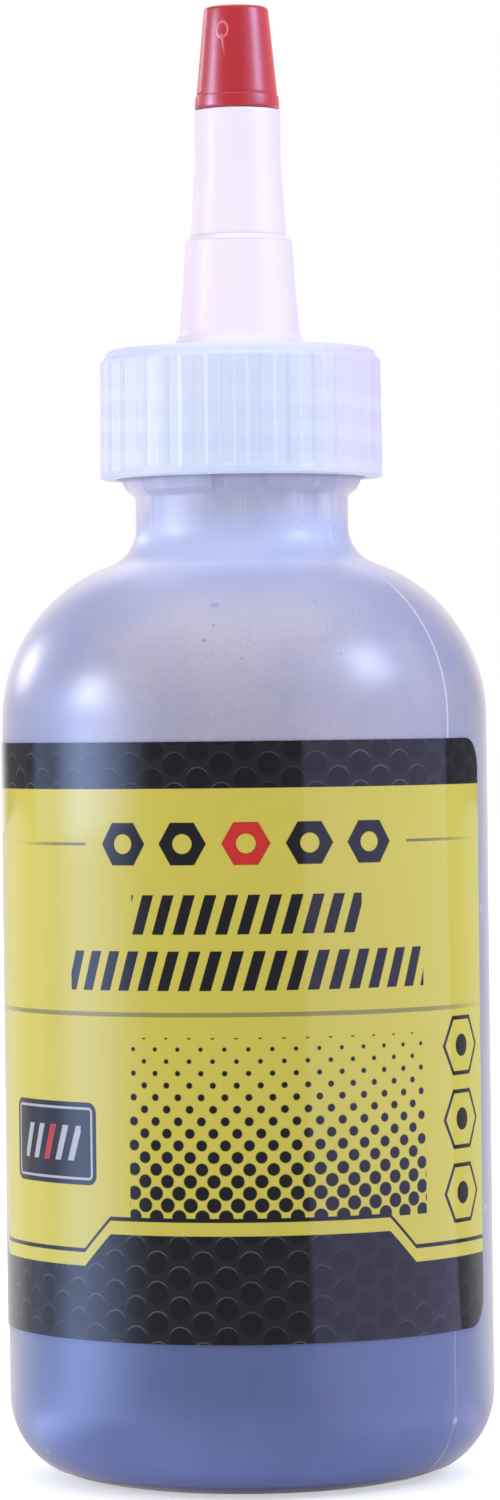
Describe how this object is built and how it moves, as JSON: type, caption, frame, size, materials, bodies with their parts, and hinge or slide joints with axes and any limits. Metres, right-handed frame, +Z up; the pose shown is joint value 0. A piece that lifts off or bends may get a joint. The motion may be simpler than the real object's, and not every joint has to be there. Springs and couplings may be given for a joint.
{
  "type": "graphite lubricant squeeze bottle",
  "caption": "Squeeze bottle of powdered graphite for locks, with a ribbed screw-on spout cap, a sealing ring and a pull-off tip cap over its nozzle.",
  "frame": {"origin": "centre of the bottle's foot, on the surface that it stands on", "axes": "+Z up along the axis of the bottle, the cap and the spout; the front of the label faces -Y and +X is to its right"},
  "size_m": [0.0485, 0.0486, 0.1464],
  "materials": {
    "bottle_plastic": "satin",
    "label_film": "gloss",
    "graphite": "matte",
    "liner_foam": "matte",
    "cap_plastic": "satin",
    "tip_plastic": "satin"
  },
  "bodies": {
    "bottle": {"bottle": "bottle_plastic", "label": "label_film", "graphite_powder": "graphite"},
    "liner": {"seal_liner": "liner_foam"},
    "spout_cap": {"spout_cap": "cap_plastic"},
    "tip_cap": {"tip_cap": "tip_plastic"}
  },
  "joints": [
    {"name": "cap_lift", "type": "slide", "parent": "bottle", "child": "liner", "axis": [0, 0, 1], "range_m": [0, 0.00476]},
    {"name": "cap_turn", "type": "hinge", "parent": "liner", "child": "spout_cap", "pos_m": [0, 0, 0.1112], "axis": [0, 0, 1], "range_deg": [0, 540]},
    {"name": "tip_cap_pull", "type": "slide", "parent": "spout_cap", "child": "tip_cap", "axis": [0, 0, 1], "range_m": [0, 0.014]}
  ],
  "couplings": [
    {"joint": "cap_turn", "follows": "cap_lift", "rad_per_m": 1979}
  ]
}
